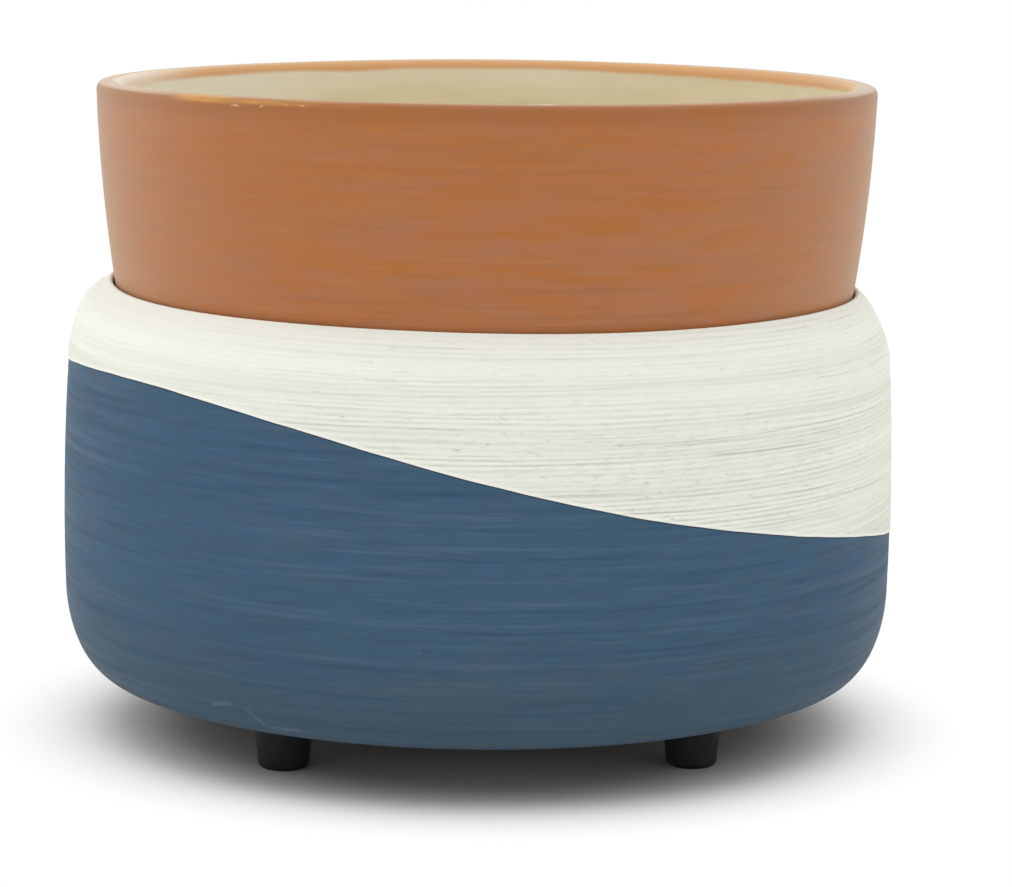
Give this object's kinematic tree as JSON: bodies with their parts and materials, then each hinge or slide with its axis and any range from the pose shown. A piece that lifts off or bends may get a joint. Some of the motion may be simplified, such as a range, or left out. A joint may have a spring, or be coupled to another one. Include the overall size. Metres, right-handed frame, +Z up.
{
  "type": "wax melt warmer",
  "caption": "Ceramic wax melt warmer: a squat rounded base with a hot plate in its top, small rubber feet and a lift-off flared dish nested in the well.",
  "frame": {"origin": "on the floor under the middle of the base", "axes": "+Z up; the pictured front faces -Y, and the cord inlet is at the rear, +Y"},
  "size_m": [0.1402, 0.1402, 0.1095],
  "materials": {
    "glazed_base": "matt combed glaze, white over slate blue",
    "terracotta_glaze": "matt brushed terracotta outside, cream glaze inside",
    "plate_aluminium": "turned, natural",
    "silicone": "translucent white",
    "mica": "pressed sheet",
    "resistance_foil": "etched",
    "ceramic_fibre": "felted",
    "zinc_steel": "zinc plated",
    "brass": "plain",
    "steatite": "unglazed",
    "tinned_copper": "tinned",
    "dark_plastic": "moulded phenolic",
    "fuse_metal": "drawn case and wires",
    "glass_sleeve": "woven glass fibre",
    "pale_plastic": "moulded",
    "silicone_lead": "satin insulation",
    "grommet_rubber": "moulded black",
    "cover_plastic": "fine texture, black",
    "label_foil": "blank satin foil",
    "foot_rubber": "moulded black"
  },
  "bodies": {
    "base": {"base_shell": "glazed_base", "hot_plate": "plate_aluminium", "plate_gasket": "silicone", "mica_upper": "mica", "heating_foil": "resistance_foil", "mica_lower": "mica", "insulation_pad": "ceramic_fibre", "clamp_plate": "zinc_steel", "heater_posts": "brass", "post_bushes": "steatite", "ring_terminals": "tinned_copper", "post_nuts": "brass", "spring_washer": "zinc_steel", "retaining_bridge": "zinc_steel", "plate_washer": "zinc_steel", "plate_nut": "zinc_steel", "centre_rod": "zinc_steel", "thermostat_cap": "plate_aluminium", "thermostat_body": "dark_plastic", "thermostat_terminals": "tinned_copper", "thermostat_screws": "zinc_steel", "spade_connectors": "tinned_copper", "thermal_fuse": "fuse_metal", "fuse_sleeve": "glass_sleeve", "fuse_clip": "zinc_steel", "fuse_clip_screw": "zinc_steel", "fuse_splices": "tinned_copper", "terminal_block": "pale_plastic", "terminal_clamps": "brass", "terminal_screws": "zinc_steel", "terminal_mount_screw": "zinc_steel", "lead_live": "silicone_lead", "lead_thermostat_fuse": "silicone_lead", "lead_fuse_heater": "silicone_lead", "lead_neutral": "silicone_lead", "inlet_grommet": "grommet_rubber", "bottom_cover": "cover_plastic", "cover_washer": "zinc_steel", "cover_nut": "zinc_steel", "rating_label": "label_foil", "foot_washers": "zinc_steel", "foot_screws": "zinc_steel", "foot_front_left": "foot_rubber", "foot_front_right": "foot_rubber", "foot_rear_left": "foot_rubber", "foot_rear_right": "foot_rubber"},
    "dish": {"dish": "terracotta_glaze"}
  },
  "joints": [
    {"name": "dish_lift", "type": "slide", "parent": "base", "child": "dish", "axis": [0, 0, 1], "range_m": [0, 0.06]}
  ]
}
